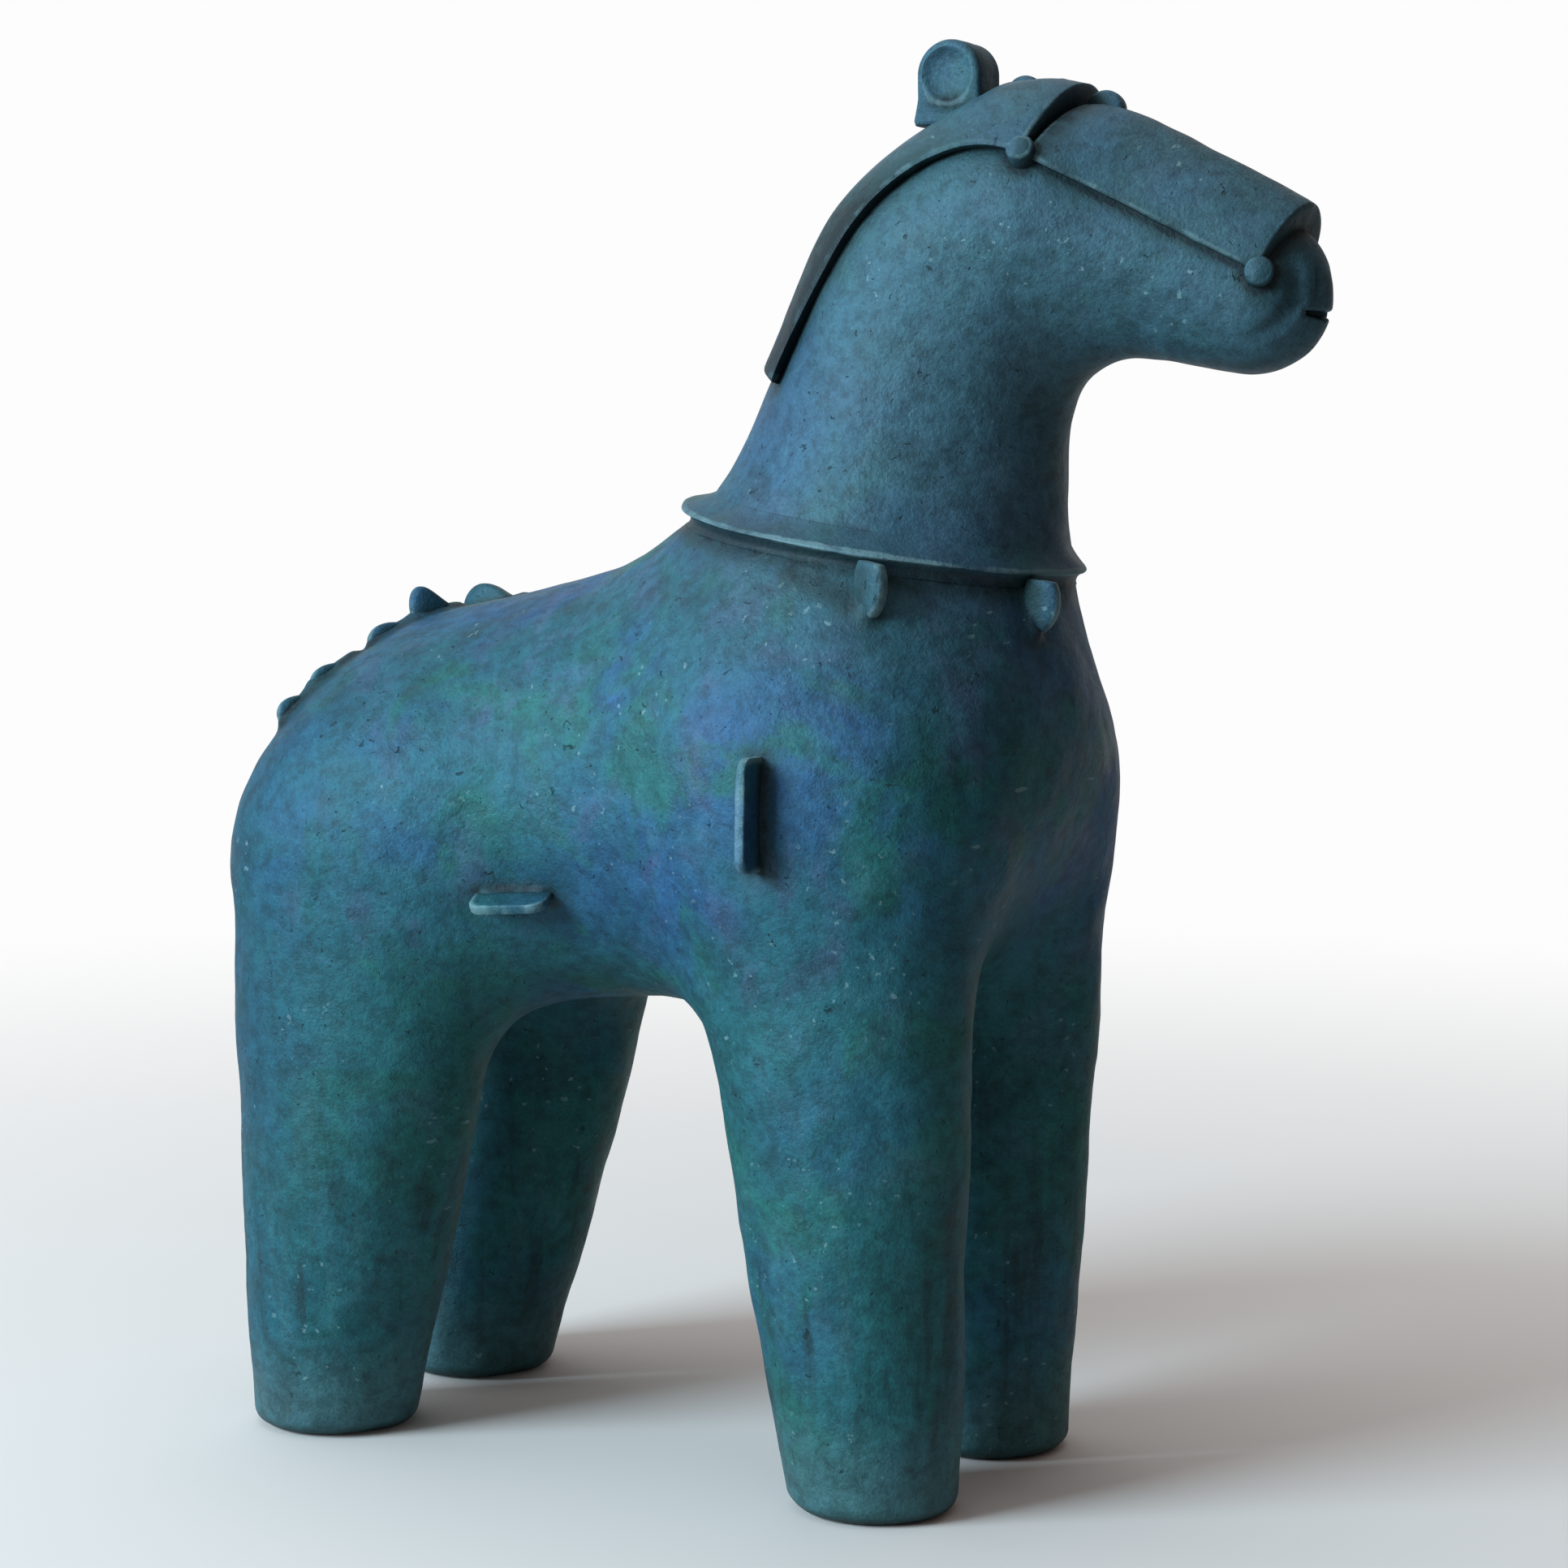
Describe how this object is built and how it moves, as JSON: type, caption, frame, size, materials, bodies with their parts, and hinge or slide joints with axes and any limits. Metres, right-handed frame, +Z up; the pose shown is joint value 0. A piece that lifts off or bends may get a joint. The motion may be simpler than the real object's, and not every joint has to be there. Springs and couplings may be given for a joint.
{
  "type": "horse statuette",
  "caption": "Standing stylised horse in patinated cast bronze, with a collar, crest, bridle studs and four round legs that it stands on.",
  "frame": {"origin": "on the floor under the middle of the whole horse, on its mirror plane", "axes": "+X the way the horse faces, +Y its left side, +Z up"},
  "size_m": [0.2605, 0.1406, 0.3262],
  "materials": {
    "patina_shell": "matt blue-green patina",
    "patina_leg": "matt blue-green patina, streaked",
    "patina_edge": "patina worn paler on the edges",
    "patina_dark": "dark blue-green patina",
    "bare_bronze": "bare cast bronze"
  },
  "bodies": {
    "root": {"trunk_shell": "patina_shell", "neck_head_shell": "patina_shell", "front_right_leg": "patina_leg", "front_left_leg": "patina_leg", "rear_right_leg": "patina_leg", "rear_left_leg": "patina_leg", "collar_ring": "patina_edge", "right_collar_pendant": "patina_edge", "front_collar_pendant": "patina_edge", "left_collar_pendant": "patina_edge", "bridle_studs": "patina_edge", "right_shoulder_fin": "patina_edge", "left_shoulder_fin": "patina_edge", "right_flank_fin": "patina_edge", "left_flank_fin": "patina_edge", "crest_slab": "patina_shell", "face_plate": "patina_shell", "right_ear": "patina_shell", "left_ear": "patina_shell", "poll_scallops": "patina_shell", "right_rump_lobes": "patina_shell", "left_rump_lobes": "patina_shell", "front_right_sole": "patina_dark", "front_left_sole": "patina_dark", "rear_right_sole": "patina_dark", "rear_left_sole": "patina_dark", "neck_sleeve": "bare_bronze", "front_right_sleeve": "bare_bronze", "front_left_sleeve": "bare_bronze", "rear_right_sleeve": "bare_bronze", "rear_left_sleeve": "bare_bronze", "cross_pins": "bare_bronze"}
  },
  "joints": []
}
